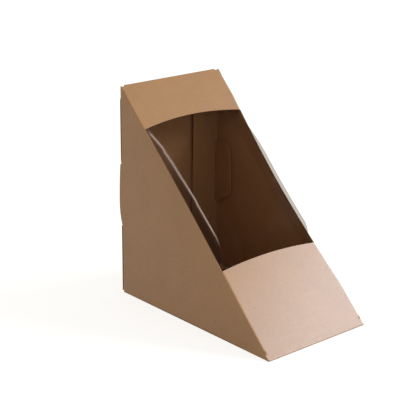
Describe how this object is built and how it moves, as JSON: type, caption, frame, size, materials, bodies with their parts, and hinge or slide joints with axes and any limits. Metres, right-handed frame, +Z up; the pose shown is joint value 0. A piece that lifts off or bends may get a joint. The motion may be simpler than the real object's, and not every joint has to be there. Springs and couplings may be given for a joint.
{
  "type": "sandwich wedge pack",
  "caption": "Wedge-shaped kraft board pack with a clear bowed window across its sloped front and a rear closure flap that swings up from the top edge.",
  "frame": {"origin": "centre of the bounding box's underside, on the surface the pack stands on", "axes": "+Z up, +X across the pack from its left wall to its right wall, +Y to the upright back; the sloped window faces -Y and +Z"},
  "size_m": [0.072, 0.1252, 0.123],
  "materials": {
    "kraft_board": "matte, fine fibres",
    "clear_film": "clear, glossy"
  },
  "bodies": {
    "pack": {"carton": "kraft_board", "window_film": "clear_film"},
    "closure": {"rear_flap": "kraft_board"}
  },
  "joints": [
    {"name": "rear_flap_hinge", "type": "hinge", "parent": "pack", "child": "closure", "pos_m": [0, 0.06037, 0.123], "axis": [1, 0, 0], "range_deg": [0, 135]}
  ]
}
